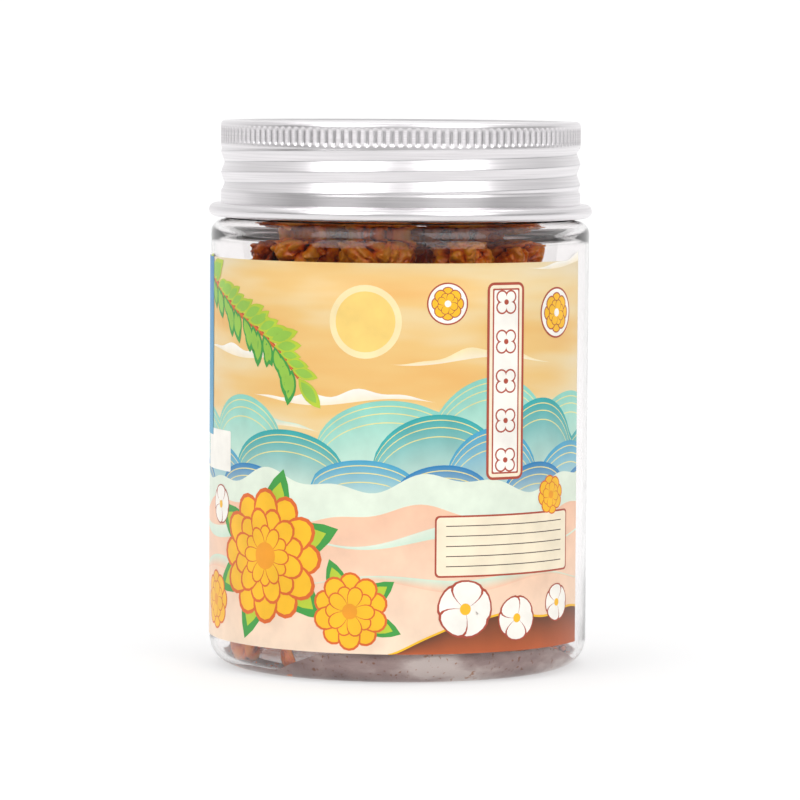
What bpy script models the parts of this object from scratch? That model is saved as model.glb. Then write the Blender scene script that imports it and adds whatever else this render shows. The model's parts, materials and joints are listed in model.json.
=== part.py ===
# Clear screw-top jar filled with dried golden ear fungus, as a Blender model.
# Units are metres, +Z is up, and the origin is at the middle of the base.
# The front of the label faces -Y.

import math
import random

import bmesh
import bpy
from mathutils import Vector, noise

MM = 0.001

# Jar body
TOTAL_HEIGHT = 122.0 * MM
BODY_RADIUS = 42.4 * MM
WALL = 0.8 * MM
BASE_THICKNESS = 1.2 * MM
BASE_CORNER = 6.0 * MM
FOOT_WIDTH = 3.0 * MM
PUSH_UP = 4.5 * MM
PUSH_UP_THICKNESS = 1.8 * MM
SHOULDER_START = 96.9 * MM
SHOULDER_RADIUS = 3.0 * MM
NECK_RADIUS = 38.6 * MM
NECK_WALL = 1.0 * MM
LIP_HEIGHT = 120.0 * MM
JAR_STEPS = 48

# Screw thread, shared by the neck and the cap, right-handed with one start
THREAD_PITCH = 4.65 * MM
GROOVE_HEIGHT = 110.3 * MM
THREAD_BOTTOM = 107.2 * MM
THREAD_TOP = 115.2 * MM
THREAD_FADE = 1.6 * MM
GROOVE_DEPTH = 0.8 * MM
RIDGE_HEIGHT = 0.75 * MM
RIDGE_ROOT = 2.4 * MM
RIDGE_CREST = 0.8 * MM
RIDGE_SINK = 0.45 * MM
RIDGE_START_DEG = -400.0
RIDGE_TURNS = 1.6
RIDGE_TAPER_STEPS = 5

# Screw cap, rolled from thin sheet
CAP_RADIUS = 40.3 * MM
CAP_SHEET = 0.5 * MM
CAP_EDGE = 0.8 * MM
CAP_PANEL_RADIUS = 36.8 * MM
CAP_PANEL_DROP = 0.3 * MM
CAP_STEPS = 60
FLUTES_PER_STEP = 2
FLUTE_BAND_BOTTOM = 116.9 * MM
FLUTE_BAND_TOP = TOTAL_HEIGHT - CAP_EDGE
FLUTE_MARGIN = 0.5 * MM
FLUTE_DEPTH = 0.4 * MM
FLUTE_WALL = 0.6 * MM
OUTER_THREAD_ROWS = 11
INNER_THREAD_ROWS = 9
ON_WALL = 0.02 * MM
BEAD_RADIUS = 42.95 * MM
BEAD_TOP = 104.2 * MM
BEAD_MIDDLE = 101.9 * MM
BEAD_BOTTOM = 100.5 * MM

# Sealing disc loose inside the cap
SEAL_RADIUS = 38.9 * MM
SEAL_BOTTOM = 120.3 * MM
SEAL_THICKNESS = 0.6 * MM

# Printed label round the front, from just past the left limb to short of the right one
LABEL_GAP = 0.22 * MM
LABEL_THICKNESS = 0.12 * MM
LABEL_BOTTOM = 6.8 * MM
LABEL_TOP = 91.7 * MM
LABEL_FIRST_STEP = 23
LABEL_LAST_STEP = 45

# Dried fungus pieces
PIECE_GAP = 0.3 * MM
CAVITY_MARGIN = 0.5 * MM
LOBE_DENSITY = 1.2
CREASE_DEPTH = 0.36
CREASE_WIDTH = 0.2
PIECE_SEED = 29
RING_TURN_CHANCE_DEG = 7.0
RING_SHIFT_CHANCE = 2.0
RING_SIZE_CHANCE = 0.08
RING_REACH = 41.0
TOP_REACH = 34.5

# The rings of heads behind the label: count, height, ring radius, head size and turn
HEAD_RINGS = (
    (5, 16.0, 23.5, 17.0, 250.0),
    (4, 38.0, 22.5, 17.5, 320.0),
    (4, 58.5, 22.5, 17.5, 275.0),
    (4, 77.5, 22.0, 16.0, 310.0),
)

GOLD = (0.62, 0.27, 0.035)
AMBER = (0.36, 0.13, 0.025)
BROWN = (0.16, 0.05, 0.018)


def clear_scene():
    for obj in list(bpy.data.objects):
        bpy.data.objects.remove(obj, do_unlink=True)


def make_collection(name):
    collection = bpy.data.collections.new(name)
    bpy.context.scene.collection.children.link(collection)
    return collection


def make_material(name, colour, roughness, metallic=0.0, alpha=1.0):
    material = bpy.data.materials.new(name)
    material.use_nodes = True
    shader = material.node_tree.nodes["Principled BSDF"]
    shader.inputs["Base Color"].default_value = (*colour, 1.0)
    shader.inputs["Roughness"].default_value = roughness
    shader.inputs["Metallic"].default_value = metallic
    shader.inputs["Alpha"].default_value = alpha
    return material


def add_mesh_object(name, mesh, collection, material=None):
    obj = bpy.data.objects.new(name, mesh)
    collection.objects.link(obj)
    if material:
        mesh.materials.append(material)
    return obj


def as_cutter(obj):
    obj.hide_render = True
    obj.display_type = "WIRE"


def arc(centre_radius, centre_height, radius, start_deg, end_deg, steps):
    # Points (r, z) on a circular arc in the plane of the profile
    points = []
    for i in range(steps + 1):
        angle = math.radians(start_deg + (end_deg - start_deg) * i / steps)
        points.append(
            (
                centre_radius + radius * math.cos(angle),
                centre_height + radius * math.sin(angle),
            )
        )
    return points


def turned_object(name, profile, steps, collection, material):
    # Turns a profile of (r, z) points about Z with a Screw modifier
    mesh = bpy.data.meshes.new(name)
    mesh.from_pydata(
        [(r, 0.0, z) for r, z in profile],
        [(i, i + 1) for i in range(len(profile) - 1)],
        [],
    )
    obj = add_mesh_object(name, mesh, collection, material)
    screw = obj.modifiers.new("turn", "SCREW")
    screw.axis = "Z"
    screw.steps = steps
    screw.render_steps = steps
    screw.use_merge_vertices = True
    screw.merge_threshold = 0.00001
    return obj


def applied_mesh(obj):
    # Returns the object's evaluated mesh as plain data and drops its modifiers
    evaluated = obj.evaluated_get(bpy.context.evaluated_depsgraph_get())
    mesh = bpy.data.meshes.new_from_object(evaluated)
    obj.modifiers.clear()
    return mesh


def shade(obj, angle_deg=35.0):
    obj.data.shade_smooth()
    obj.data.set_sharp_from_angle(angle=math.radians(angle_deg))


# The jar

BASE_ARC_RADIUS = BODY_RADIUS - BASE_CORNER
INNER_CORNER = BASE_CORNER - BASE_THICKNESS


def dome_height(radius):
    # Height of the pushed-up base's underside above the foot
    edge = BASE_ARC_RADIUS - FOOT_WIDTH
    if radius >= edge:
        return 0.0
    return PUSH_UP * (1.0 - (radius / edge) ** 2)


def floor_height(radius):
    # Height of the jar's inner floor
    share = dome_height(radius) / PUSH_UP
    thickness = BASE_THICKNESS + (PUSH_UP_THICKNESS - BASE_THICKNESS) * share
    return dome_height(radius) + thickness


def jar_profile():
    dome_edge = BASE_ARC_RADIUS - FOOT_WIDTH
    dome_radii = [dome_edge * share for share in (0.0, 0.35, 0.65, 0.85)]
    shoulder_centre = BODY_RADIUS - SHOULDER_RADIUS
    shoulder_top = SHOULDER_START + SHOULDER_RADIUS
    neck_inner = NECK_RADIUS - NECK_WALL
    lip_edge = 0.35 * MM

    profile = [(r, floor_height(r)) for r in dome_radii]
    profile.append((dome_edge, BASE_THICKNESS))
    profile += arc(BASE_ARC_RADIUS, BASE_CORNER, INNER_CORNER, -90.0, 0.0, 4)
    profile.append((BODY_RADIUS - WALL, 2.0 * BASE_CORNER))
    profile += arc(shoulder_centre, SHOULDER_START, SHOULDER_RADIUS - WALL, 0.0, 90.0, 3)
    profile.append((neck_inner, shoulder_top - WALL + lip_edge))
    profile.append((neck_inner, LIP_HEIGHT - lip_edge))
    profile.append((neck_inner + lip_edge, LIP_HEIGHT))
    profile.append((NECK_RADIUS - lip_edge, LIP_HEIGHT))
    profile.append((NECK_RADIUS, LIP_HEIGHT - lip_edge))
    profile.append((NECK_RADIUS, shoulder_top + lip_edge))
    profile += arc(shoulder_centre, SHOULDER_START, SHOULDER_RADIUS, 90.0, 0.0, 4)
    profile += arc(BASE_ARC_RADIUS, BASE_CORNER, BASE_CORNER, 0.0, -90.0, 5)
    profile.append((dome_edge, 0.0))
    profile += [(r, dome_height(r)) for r in reversed(dome_radii)]
    return profile


def ridge_centre_height(angle):
    # The ridge on the neck runs half a pitch above the groove in the cap
    return GROOVE_HEIGHT + 0.5 * THREAD_PITCH + THREAD_PITCH * angle / math.tau


def build_thread_ridge(cutters):
    # A raised helix round the neck, which tapers into the wall at both ends
    mesh = bpy.data.meshes.new("neck_thread_shape")
    bm = bmesh.new()
    steps = round(JAR_STEPS * RIDGE_TURNS)
    first_angle = math.radians(RIDGE_START_DEG)
    rings = []
    for i in range(steps + 1):
        angle = first_angle + math.tau * RIDGE_TURNS * i / steps
        size = min(1.0, (min(i, steps - i) + 0.4) / RIDGE_TAPER_STEPS)
        height = ridge_centre_height(angle)
        root = NECK_RADIUS - RIDGE_SINK
        crest = NECK_RADIUS + RIDGE_HEIGHT * size
        section = (
            (root, height - 0.5 * RIDGE_ROOT * size),
            (crest, height - 0.5 * RIDGE_CREST * size),
            (crest, height + 0.5 * RIDGE_CREST * size),
            (root, height + 0.5 * RIDGE_ROOT * size),
        )
        rings.append(
            [bm.verts.new((r * math.cos(angle), r * math.sin(angle), z)) for r, z in section]
        )
    for ring, following in zip(rings, rings[1:]):
        for k in range(4):
            m = (k + 1) % 4
            bm.faces.new((ring[k], following[k], following[m], ring[m]))
    bm.faces.new(rings[0])
    bm.faces.new(reversed(rings[-1]))
    bmesh.ops.triangulate(bm, faces=bm.faces)
    bmesh.ops.recalc_face_normals(bm, faces=bm.faces)
    bm.to_mesh(mesh)
    bm.free()
    ridge = add_mesh_object("neck_thread", mesh, cutters)
    as_cutter(ridge)
    return ridge


def build_jar(parts, cutters):
    material = make_material("clear_plastic", (0.93, 0.93, 0.95), 0.08, alpha=0.3)
    jar = turned_object("jar", jar_profile(), JAR_STEPS, parts, material)
    jar.data = applied_mesh(jar)
    union = jar.modifiers.new("neck_thread", "BOOLEAN")
    union.operation = "UNION"
    union.solver = "EXACT"
    union.object = build_thread_ridge(cutters)
    shade(jar)
    return jar


# The cap


def smooth_share(value):
    value = min(1.0, max(0.0, value))
    return value * value * (3.0 - 2.0 * value)


def groove_share(angle, height):
    # 0 on the cap's plain wall, 1 at the bottom of the rolled groove
    lower = smooth_share((height - THREAD_BOTTOM + THREAD_FADE) / THREAD_FADE)
    upper = smooth_share((THREAD_TOP + THREAD_FADE - height) / THREAD_FADE)
    groove = GROOVE_HEIGHT + THREAD_PITCH * angle / math.tau
    wave = 0.5 + 0.5 * math.cos(math.tau * (height - groove) / THREAD_PITCH)
    return wave * lower * upper


def thread_rows(count):
    bottom = THREAD_BOTTOM - THREAD_FADE
    return [FLUTE_BAND_BOTTOM - (FLUTE_BAND_BOTTOM - bottom) * i / count for i in range(count + 1)]


def cap_profile():
    inner_wall = CAP_RADIUS - CAP_SHEET
    flute_inner = CAP_RADIUS - FLUTE_DEPTH - FLUTE_WALL
    panel_top = TOTAL_HEIGHT - CAP_PANEL_DROP
    inner_top = panel_top - CAP_SHEET
    step = 0.4 * MM

    profile = [(0.0, panel_top), (CAP_PANEL_RADIUS - step, panel_top)]
    profile.append((CAP_PANEL_RADIUS, TOTAL_HEIGHT))
    profile += arc(CAP_RADIUS - CAP_EDGE, FLUTE_BAND_TOP, CAP_EDGE, 90.0, 0.0, 2)
    profile += [(CAP_RADIUS, z) for z in thread_rows(OUTER_THREAD_ROWS)]
    profile += [
        (CAP_RADIUS + 0.1 * MM, BEAD_TOP),
        (CAP_RADIUS + 1.4 * MM, BEAD_TOP - 0.85 * MM),
        (BEAD_RADIUS - 0.3 * MM, BEAD_TOP - 1.5 * MM),
        (BEAD_RADIUS, BEAD_MIDDLE),
        (BEAD_RADIUS - 0.4 * MM, BEAD_BOTTOM + 0.35 * MM),
        (BEAD_RADIUS - 1.5 * MM, BEAD_BOTTOM),
        (inner_wall + 0.8 * MM, BEAD_BOTTOM),
        (inner_wall + 0.1 * MM, BEAD_BOTTOM + 0.5 * MM),
    ]
    profile += [(inner_wall, z) for z in reversed(thread_rows(INNER_THREAD_ROWS))]
    profile.append((flute_inner, FLUTE_BAND_BOTTOM + 0.4 * MM))
    profile.append((flute_inner, inner_top))
    profile.append((0.0, inner_top))
    return profile


def is_in_band(face):
    heights = [v.co.z for v in face.verts]
    outside = min(math.hypot(v.co.x, v.co.y) for v in face.verts) > CAP_RADIUS - ON_WALL
    return (
        outside
        and min(heights) > FLUTE_BAND_BOTTOM - ON_WALL
        and max(heights) < FLUTE_BAND_TOP + ON_WALL
    )


def press_flutes(bm):
    # Splits the band into one facet for each flute and sinks a pocket in each
    band_edges = []
    for edge in bm.edges:
        a, b = (v.co for v in edge.verts)
        on_wall = math.hypot(a.x, a.y) > CAP_RADIUS - ON_WALL
        level = abs(a.z - b.z) < ON_WALL
        at_band = min(abs(a.z - FLUTE_BAND_BOTTOM), abs(a.z - FLUTE_BAND_TOP)) < ON_WALL
        if on_wall and level and at_band:
            band_edges.append(edge)
    split = bmesh.ops.subdivide_edges(bm, edges=band_edges, cuts=FLUTES_PER_STEP - 1)
    for vert in (g for g in split["geom_inner"] if isinstance(g, bmesh.types.BMVert)):
        stretch = CAP_RADIUS / math.hypot(vert.co.x, vert.co.y)
        vert.co.x *= stretch
        vert.co.y *= stretch
    band = [f for f in bm.faces if is_in_band(f)]
    bmesh.ops.inset_individual(bm, faces=band, thickness=FLUTE_MARGIN, depth=-FLUTE_DEPTH)


def build_cap(parts):
    material = make_material("satin_aluminium", (0.78, 0.78, 0.79), 0.32, metallic=1.0)
    cap = turned_object("cap", cap_profile(), CAP_STEPS, parts, material)
    cap.data = applied_mesh(cap)
    bm = bmesh.new()
    bm.from_mesh(cap.data)
    for vert in bm.verts:
        radius = math.hypot(vert.co.x, vert.co.y)
        if radius > SEAL_RADIUS:
            angle = math.atan2(vert.co.y, vert.co.x)
            shrink = 1.0 - GROOVE_DEPTH * groove_share(angle, vert.co.z) / radius
            vert.co.x *= shrink
            vert.co.y *= shrink
    press_flutes(bm)
    bmesh.ops.triangulate(bm, faces=bm.faces)
    bm.to_mesh(cap.data)
    bm.free()
    shade(cap)
    return cap


# The sealing disc


def build_seal(parts):
    material = make_material("white_foam", (0.9, 0.9, 0.88), 0.7)
    top = SEAL_BOTTOM + SEAL_THICKNESS
    profile = [(0.0, top), (SEAL_RADIUS, top), (SEAL_RADIUS, SEAL_BOTTOM), (0.0, SEAL_BOTTOM)]
    seal = turned_object("seal", profile, JAR_STEPS, parts, material)
    seal.data = applied_mesh(seal)
    shade(seal)
    return seal


# The label


def build_label(parts):
    # An open curved sheet whose facets lie over the jar's own, thickened outwards
    material = make_material("printed_label", (0.93, 0.83, 0.66), 0.45)
    mesh = bpy.data.meshes.new("label")
    bm = bmesh.new()
    radius = BODY_RADIUS + LABEL_GAP
    columns = []
    for i in range(LABEL_FIRST_STEP, LABEL_LAST_STEP + 1):
        angle = math.tau * i / JAR_STEPS
        x, y = radius * math.cos(angle), radius * math.sin(angle)
        columns.append([bm.verts.new((x, y, z)) for z in (LABEL_BOTTOM, LABEL_TOP)])
    for (low, high), (next_low, next_high) in zip(columns, columns[1:]):
        bm.faces.new((low, next_low, next_high, high))
    bm.to_mesh(mesh)
    bm.free()
    label = add_mesh_object("label", mesh, parts, material)
    thicken = label.modifiers.new("thickness", "SOLIDIFY")
    thicken.thickness = LABEL_THICKNESS
    thicken.offset = 1.0
    shade(label)
    return label


# The dried fungus


class Piece:
    # One dried head: its middle, its mean radius, how far out it may reach, and its colour
    def __init__(self, x, y, z, size, reach, colour):
        self.middle = Vector((x, y, z)) * MM
        self.size = size * MM
        self.reach = reach * MM
        self.colour = colour


def ring_of_pieces(count, height, ring_radius, size, turn_deg, dice):
    # Heads in a ring at one level of the pile, each moved and sized a little by chance
    pieces = []
    for i in range(count):
        chance_deg = dice.uniform(-RING_TURN_CHANCE_DEG, RING_TURN_CHANCE_DEG)
        angle = math.radians(turn_deg + 360.0 * i / count + chance_deg)
        radius = ring_radius + dice.uniform(-RING_SHIFT_CHANCE, RING_SHIFT_CHANCE)
        pieces.append(
            Piece(
                radius * math.cos(angle),
                radius * math.sin(angle),
                height + dice.uniform(-RING_SHIFT_CHANCE, RING_SHIFT_CHANCE),
                size * dice.uniform(1.0 - RING_SIZE_CHANCE, 1.0 + RING_SIZE_CHANCE),
                RING_REACH,
                dice.choice((GOLD, AMBER, AMBER, BROWN)),
            )
        )
    return pieces


def top_pieces():
    # The heads that show above the label, placed one by one
    reach = TOP_REACH
    return [
        Piece(-27.0, -9.5, 89.5, 8.8, reach, BROWN),
        Piece(-20.5, -20.0, 94.5, 7.0, reach, GOLD),
        Piece(-14.0, -9.5, 98.5, 8.6, reach, AMBER),
        Piece(-4.5, -24.5, 94.0, 9.0, reach, GOLD),
        Piece(13.0, -24.0, 91.5, 8.0, reach, GOLD),
        Piece(25.0, -13.0, 90.0, 9.8, reach, AMBER),
        Piece(13.0, -8.0, 100.0, 10.0, reach, BROWN),
        Piece(20.5, 11.5, 95.5, 11.6, reach, GOLD),
        Piece(1.0, 20.5, 97.0, 12.2, reach, AMBER),
        Piece(-19.5, 11.5, 95.0, 11.6, reach, GOLD),
    ]


def all_pieces():
    dice = random.Random(PIECE_SEED)
    pieces = []
    for count, height, ring_radius, size, turn_deg in HEAD_RINGS:
        pieces += ring_of_pieces(count, height, ring_radius, size, turn_deg, dice)
    pieces += top_pieces()
    return pieces


def cell_planes(piece, pieces):
    # Planes between this head and the others, as (unit normal, distance from its middle)
    planes = []
    for other in pieces:
        if other is piece:
            continue
        apart = other.middle - piece.middle
        share = piece.size / (piece.size + other.size)
        planes.append((apart.normalized(), apart.length * share - 0.5 * PIECE_GAP))
    return planes


def is_in_cavity(point, reach):
    # Whether a point is inside the jar with a small margin to the plastic
    radius = math.hypot(point.x, point.y)
    limit = min(reach, BODY_RADIUS - WALL - CAVITY_MARGIN)
    if point.z < 2.0 * BASE_CORNER:
        limit = min(limit, BASE_ARC_RADIUS + INNER_CORNER - CAVITY_MARGIN)
    if point.z < BASE_CORNER:
        rise = BASE_CORNER - point.z
        inner = INNER_CORNER - CAVITY_MARGIN
        if rise >= inner:
            limit = min(limit, BASE_ARC_RADIUS)
        else:
            limit = min(limit, BASE_ARC_RADIUS + math.sqrt(inner * inner - rise * rise))
    return radius < limit and point.z > floor_height(radius) + CAVITY_MARGIN


def folded_radius(direction, piece, offset):
    # A head of rounded lobes that meet in sharp creases, like folded tissue
    distances, _ = noise.voronoi(direction * LOBE_DENSITY + offset)
    crease = math.exp((distances[0] - distances[1]) / CREASE_WIDTH)
    swell = 0.14 * noise.noise(direction * 1.1 - offset)
    return piece.size * (1.1 + swell - CREASE_DEPTH * crease)


def reach_along(direction, piece, planes, wanted):
    # The furthest a head may go one way: to its cell's planes and to the jar
    reach = wanted
    for normal, distance in planes:
        toward = direction.dot(normal)
        if toward > 0.0:
            reach = min(reach, distance / toward)
    if not is_in_cavity(piece.middle + direction * reach, piece.reach):
        low, high = 0.0, reach
        for _ in range(24):
            middle = 0.5 * (low + high)
            if is_in_cavity(piece.middle + direction * middle, piece.reach):
                low = middle
            else:
                high = middle
        reach = low
    return reach


def build_fungus(parts):
    pieces = all_pieces()
    dice = random.Random(PIECE_SEED + 1)
    for number, piece in enumerate(pieces, start=1):
        name = f"fungus_{number:02d}"
        planes = cell_planes(piece, pieces)
        offset = Vector([dice.uniform(-50.0, 50.0) for _ in range(3)])
        stretch = Vector([dice.uniform(0.85, 1.2) for _ in range(3)])
        mesh = bpy.data.meshes.new(name)
        bm = bmesh.new()
        bmesh.ops.create_icosphere(bm, subdivisions=3, radius=1.0)
        for vert in bm.verts:
            direction = vert.co.normalized()
            wanted = folded_radius(direction, piece, offset)
            wanted *= Vector([d * s for d, s in zip(direction, stretch)]).length
            vert.co = direction * reach_along(direction, piece, planes, wanted)
        bm.to_mesh(mesh)
        bm.free()
        material = make_material(name, piece.colour, 0.4)
        head = add_mesh_object(name, mesh, parts, material)
        head.location = piece.middle
        shade(head, 40.0)
        yield head


def build_all():
    clear_scene()
    parts = make_collection("fungus_jar")
    cutters = make_collection("fungus_jar_cutters")

    jar_body = bpy.data.objects.new("jar_body", None)
    cap_body = bpy.data.objects.new("cap_body", None)
    parts.objects.link(jar_body)
    parts.objects.link(cap_body)

    held_by_jar = [build_jar(parts, cutters), build_label(parts), *build_fungus(parts)]
    for obj in held_by_jar:
        obj.parent = jar_body
    build_seal(parts)
    cap = build_cap(parts)
    cap.parent = cap_body


build_all()
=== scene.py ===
import json
import math
import random

import bmesh
import bpy
from mathutils import Matrix, Vector, noise


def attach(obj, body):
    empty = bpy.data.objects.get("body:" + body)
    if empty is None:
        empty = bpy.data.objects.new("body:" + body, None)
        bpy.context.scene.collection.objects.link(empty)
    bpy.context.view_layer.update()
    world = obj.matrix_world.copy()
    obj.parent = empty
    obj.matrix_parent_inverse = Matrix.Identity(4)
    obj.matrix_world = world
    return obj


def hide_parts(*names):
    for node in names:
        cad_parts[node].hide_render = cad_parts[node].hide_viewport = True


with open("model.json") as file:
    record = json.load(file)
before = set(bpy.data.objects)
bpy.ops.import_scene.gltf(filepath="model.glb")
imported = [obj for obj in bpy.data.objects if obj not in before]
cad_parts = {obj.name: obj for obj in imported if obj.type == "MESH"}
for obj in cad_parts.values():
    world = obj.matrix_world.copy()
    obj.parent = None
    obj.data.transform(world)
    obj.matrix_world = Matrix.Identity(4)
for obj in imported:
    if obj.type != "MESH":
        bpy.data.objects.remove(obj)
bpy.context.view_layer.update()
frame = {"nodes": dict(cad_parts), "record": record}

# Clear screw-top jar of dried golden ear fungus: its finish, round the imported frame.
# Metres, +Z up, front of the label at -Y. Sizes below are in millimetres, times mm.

mm = 0.001


# Small helpers

def screenColour(red, green, blue):
    # a colour as a screen shows it, 0 to 255, in the linear values that Blender wants
    def linear(value):
        share = value / 255.0
        return share / 12.92 if share <= 0.04045 else ((share + 0.055) / 1.055) ** 2.4
    return (linear(red), linear(green), linear(blue), 1.0)


def newObject(name, mesh, material):
    obj = bpy.data.objects.new(name, mesh)
    bpy.context.scene.collection.objects.link(obj)
    mesh.materials.clear()
    mesh.materials.append(material)
    return obj


def meshFromBmesh(name, bm, smoothAngle=40.0):
    mesh = bpy.data.meshes.new(name)
    bm.to_mesh(mesh)
    bm.free()
    mesh.shade_smooth()
    mesh.set_sharp_from_angle(angle=math.radians(smoothAngle))
    return mesh


def plainMesh(obj):
    # the object's evaluated shape as plain mesh, with no modifier left
    bpy.context.view_layer.update()
    evaluated = obj.evaluated_get(bpy.context.evaluated_depsgraph_get())
    mesh = bpy.data.meshes.new_from_object(evaluated)
    obj.modifiers.clear()
    obj.data = mesh
    return obj


def place(piece, body, slot, *nodes):
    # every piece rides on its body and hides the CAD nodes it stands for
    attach(piece, body)
    if nodes:
        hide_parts(*nodes)


# Node trees

def addNode(tree, kind, inputs=None, **settings):
    # a node with its settings, where each input gets a value or another node's output
    node = tree.nodes.new(kind)
    for name, value in settings.items():
        setattr(node, name, value)
    for label, source in (inputs or {}).items():
        if isinstance(source, bpy.types.NodeSocket):
            tree.links.new(source, node.inputs[label])
        else:
            node.inputs[label].default_value = source
    return node


def newTree(name, sockets):
    # a geometry tree with a material and the inputs that are given as names by kind
    tree = bpy.data.node_groups.new(name, "GeometryNodeTree")
    for kind, labels in {"Geometry": ("Geometry",), **sockets, "Material": ("Material",)}.items():
        for label in labels:
            tree.interface.new_socket(label, in_out="INPUT", socket_type="NodeSocket" + kind)
    tree.interface.new_socket("Geometry", in_out="OUTPUT", socket_type="NodeSocketGeometry")
    return tree, addNode(tree, "NodeGroupInput").outputs


def finishTree(tree, geometry, material):
    # every geometry tree ends in real mesh with its finish
    real = addNode(tree, "GeometryNodeRealizeInstances", {0: geometry}).outputs[0]
    finish = addNode(tree, "GeometryNodeSetMaterial", {"Geometry": real, "Material": material})
    addNode(tree, "NodeGroupOutput", {0: finish.outputs[0]})
    return tree


def mathNode(tree, operation, *values):
    return addNode(tree, "ShaderNodeMath", dict(enumerate(values)), operation=operation).outputs[0]


def splitVector(tree, vector):
    return addNode(tree, "ShaderNodeSeparateXYZ", {0: vector}).outputs


def joinVector(tree, x, y, z):
    return addNode(tree, "ShaderNodeCombineXYZ", {0: x, 1: y, 2: z}).outputs[0]


def lengthNode(tree, a, b):
    # the distance that is a one way and b the other
    squares = mathNode(tree, "ADD", mathNode(tree, "MULTIPLY", a, a), mathNode(tree, "MULTIPLY", b, b))
    return mathNode(tree, "SQRT", squares)


def smoothStep(tree, value, low, high):
    # 0 below low, 1 above high, smooth between them
    inputs = {"Value": value, "From Min": low, "From Max": high}
    return addNode(tree, "ShaderNodeMapRange", inputs, interpolation_type="SMOOTHSTEP").outputs[0]


def runTree(obj, tree, values):
    # adds the tree, sets its inputs by their sockets, and keeps the result as plain mesh
    modifier = obj.modifiers.new(tree.name, "NODES")
    modifier.node_group = tree
    for item in tree.interface.items_tree:
        if item.in_out == "INPUT" and item.name in values:
            modifier[item.identifier] = values[item.name]
    return plainMesh(obj)


# Camera, floor and light

view = {
    "lens": 213.0,
    "sensor": 36.0,
    "place": (0.0002, -1.063, 0.133),
    "downDeg": 3.97,
    "rollDeg": 0.4,
    "reach": 10.0,
}


def addCamera():
    data = bpy.data.cameras.new("camera")
    data.lens = view["lens"]
    data.sensor_width = view["sensor"]
    data.clip_end = view["reach"]
    camera = bpy.data.objects.new("camera", data)
    bpy.context.scene.collection.objects.link(camera)
    tilt = Matrix.Rotation(math.radians(90.0 - view["downDeg"]), 4, "X")
    roll = Matrix.Rotation(math.radians(view["rollDeg"]), 4, "Z")
    camera.matrix_world = Matrix.Translation(view["place"]) @ tilt @ roll
    bpy.context.scene.camera = camera


# glow is the floor's own light by depth, and belt the greys round the horizon
studio = {
    "floorHalf": 1.6,
    "floorFront": -0.7,
    "wallHeight": 1.8,
    "bend": 0.7,
    "bendSteps": 16,
    "floorGrey": 0.38,
    "glow": ((0.0, 0.2), (0.34, 0.5), (0.62, 0.58), (1.0, 0.58)),
    "glowDepth": 1.6,
    "worldStrength": 0.86,
    "darkSide": (-0.77, -0.64, 0.0),
    "belt": ((0.05, 0.6), (0.25, 0.34), (0.55, 0.42), (0.82, 1.0), (0.97, 0.08)),
    "beltTop": (0.16, 0.42),
    "slitHeight": -0.03,
    "slitEdge": (0.03, 0.08),
    "slitGrey": 0.06,
}

softboxes = {
    "leftBox": {"from": (-0.54, -0.70, 0.56), "at": (0.0, 0.0, 0.07), "size": (0.62, 0.82), "watts": 3.6},
    "rightBox": {"from": (0.52, -0.72, 0.56), "at": (0.0, 0.0, 0.07), "size": (0.62, 0.82), "watts": 3.3},
    "topBox": {"from": (0.0, 0.25, 1.4), "at": (0.0, 0.0, 0.0), "size": (1.2, 0.9), "watts": 2.0},
    "wallBox": {"from": (0.0, 0.3, 1.5), "at": (0.0, 1.6, 0.3), "size": (2.2, 0.5), "watts": 8.0},
}


def addBackdrop():
    # a floor that bends up into a wall behind the jar, so that no horizon shows
    bm = bmesh.new()
    half = studio["floorHalf"]
    bend = studio["bend"]
    line = [(studio["floorFront"], 0.0), (half - bend, 0.0)]
    line += arc(half - bend, bend, bend, -90.0, 0.0, studio["bendSteps"])[1:]
    line.append((half, studio["wallHeight"]))
    rows = [[bm.verts.new((x, y, z)) for x in (-2.0 * half, 2.0 * half)] for y, z in line]
    for (a, b), (c, d) in zip(rows, rows[1:]):
        bm.faces.new((a, b, d, c))
    material, tree, shader = newMaterial("paleFloor", grey(studio["floorGrey"]), 0.9)
    position = addNode(tree, "ShaderNodeTexCoord").outputs["Object"]
    depth = mathNode(tree, "SUBTRACT", splitVector(tree, position)[1], studio["floorFront"])
    glow = rampNode(tree, mathNode(tree, "DIVIDE", depth, studio["glowDepth"]), studio["glow"])
    shader.inputs["Emission Color"].default_value = grey(1.0)
    tree.links.new(glow, shader.inputs["Emission Strength"])
    newObject("backdrop", meshFromBmesh("backdrop", bm), material)


def addLights():
    for name, box in softboxes.items():
        data = bpy.data.lights.new(name, "AREA")
        data.shape = "RECTANGLE"
        data.size, data.size_y = box["size"]
        data.energy = box["watts"]
        light = bpy.data.objects.new(name, data)
        bpy.context.scene.collection.objects.link(light)
        light.location = box["from"]
        back = Vector(box["from"]) - Vector(box["at"])
        light.rotation_euler = back.to_track_quat("Z", "Y").to_euler()


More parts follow.
